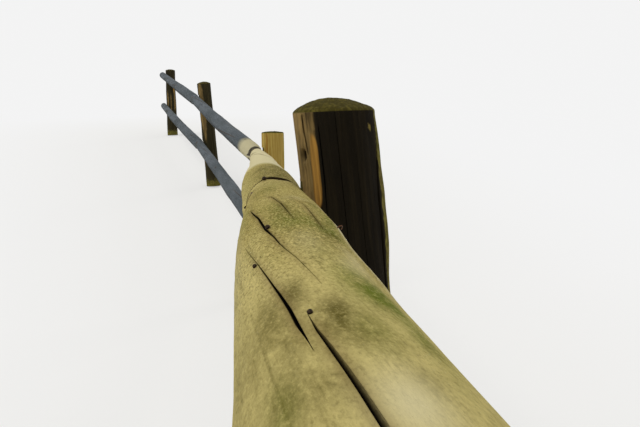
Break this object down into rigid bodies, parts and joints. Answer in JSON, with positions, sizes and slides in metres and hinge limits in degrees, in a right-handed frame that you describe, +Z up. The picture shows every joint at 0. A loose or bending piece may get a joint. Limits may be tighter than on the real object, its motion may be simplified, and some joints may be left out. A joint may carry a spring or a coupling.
{
  "type": "rustic round-log post and rail fence",
  "caption": "Rustic post and rail fence of weathered round logs: two rows of tapered rails, half lapped over the posts, along a path that bends and climbs.",
  "frame": {"origin": "centre of the flat foot of the lowest post, at ground level", "axes": "+X along the first bays of the fence, uphill; +Y level, from the posts to the path side where the rails lie; +Z up"},
  "size_m": [11.9764, 1.605, 2.124],
  "materials": {
    "tan_log": "weathered khaki wood with green algae, fine drying checks",
    "grey_log": "weathered grey wood",
    "dark_post": "dark damp wood, deep checks, moss on the crown",
    "tan_post": "orange brown weathered wood",
    "iron_bolt": "dull rusty iron"
  },
  "bodies": {
    "root": {"post_1": "dark_post", "post_2": "dark_post", "post_3": "tan_post", "post_4": "dark_post", "post_5": "dark_post", "top_rail_1": "tan_log", "top_rail_2": "tan_log", "top_rail_3": "grey_log", "top_rail_4": "grey_log", "lower_rail_1": "tan_log", "lower_rail_2": "grey_log", "lower_rail_3": "grey_log", "lower_rail_4": "grey_log"}
  },
  "joints": []
}
